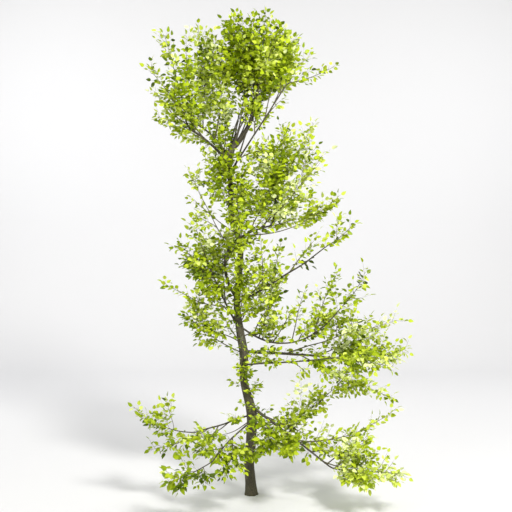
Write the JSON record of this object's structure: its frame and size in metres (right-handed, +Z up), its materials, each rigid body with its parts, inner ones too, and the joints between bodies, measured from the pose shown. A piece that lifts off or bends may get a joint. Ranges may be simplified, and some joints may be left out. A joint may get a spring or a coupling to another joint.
{
  "type": "birch tree",
  "caption": "Slim young birch tree with a leaning trunk, long upturned boughs and open, upright masses of small pointed leaves.",
  "frame": {"origin": "middle of the flat cut under the trunk, at ground level", "axes": "+Z up the trunk, +X to the tree's right as seen from its front, +Y to its back"},
  "size_m": [3.485, 2.2587, 6.0398],
  "materials": {
    "trunk_bark": "matt grey-brown bark with fine upright cracks",
    "limb_bark": "smooth dark grey-brown bark",
    "leaves": "thin yellow-green leaves with a soft sheen"
  },
  "bodies": {
    "root": {"trunk": "trunk_bark", "crown_leader": "limb_bark", "crown_fork_low": "limb_bark", "crown_fork_high": "limb_bark", "crown_right_bough": "limb_bark", "curved_bough": "limb_bark", "right_bough_a": "limb_bark", "right_bough_b": "limb_bark", "right_bough_c": "limb_bark", "right_bough_d": "limb_bark", "left_fan_limb": "limb_bark", "right_bough_e": "limb_bark", "left_foot_bough": "limb_bark", "front_foot_bough": "limb_bark", "crown_top": "leaves", "crown_top_back": "leaves", "crown_top_front": "leaves", "crown_base": "leaves", "crown_right": "leaves", "crown_right_tip": "leaves", "crown_left_high": "leaves", "crown_left_inner": "leaves", "crown_left_tip": "leaves", "crown_left_far": "leaves", "crown_left_clump": "leaves", "upper_left": "leaves", "upper_left_side": "leaves", "upper_left_inner": "leaves", "upper_front": "leaves", "upper_back": "leaves", "middle_tall": "leaves", "middle_out": "leaves", "middle_back": "leaves", "side_limb_spray": "leaves", "bough_a_tip": "leaves", "bough_a_front": "leaves", "bough_a_upper": "leaves", "middle_low_back": "leaves", "centre_right_low": "leaves", "left_fan_tip": "leaves", "left_fan_back": "leaves", "left_fan_inner": "leaves", "left_out_spray": "leaves", "left_low": "leaves", "left_low_inner": "leaves", "bough_b_tip": "leaves", "bough_b_upper": "leaves", "bough_c_tip": "leaves", "bough_c_upper": "leaves", "bough_c_lower": "leaves", "bough_d_tip": "leaves", "bough_f_tip": "leaves", "bough_e_tip": "leaves", "bough_e_shoot": "leaves", "bough_e_front": "leaves", "low_back": "leaves", "left_foot_tip": "leaves", "left_foot_low": "leaves", "front_foot_inner": "leaves", "front_foot_tip": "leaves"}
  },
  "joints": []
}
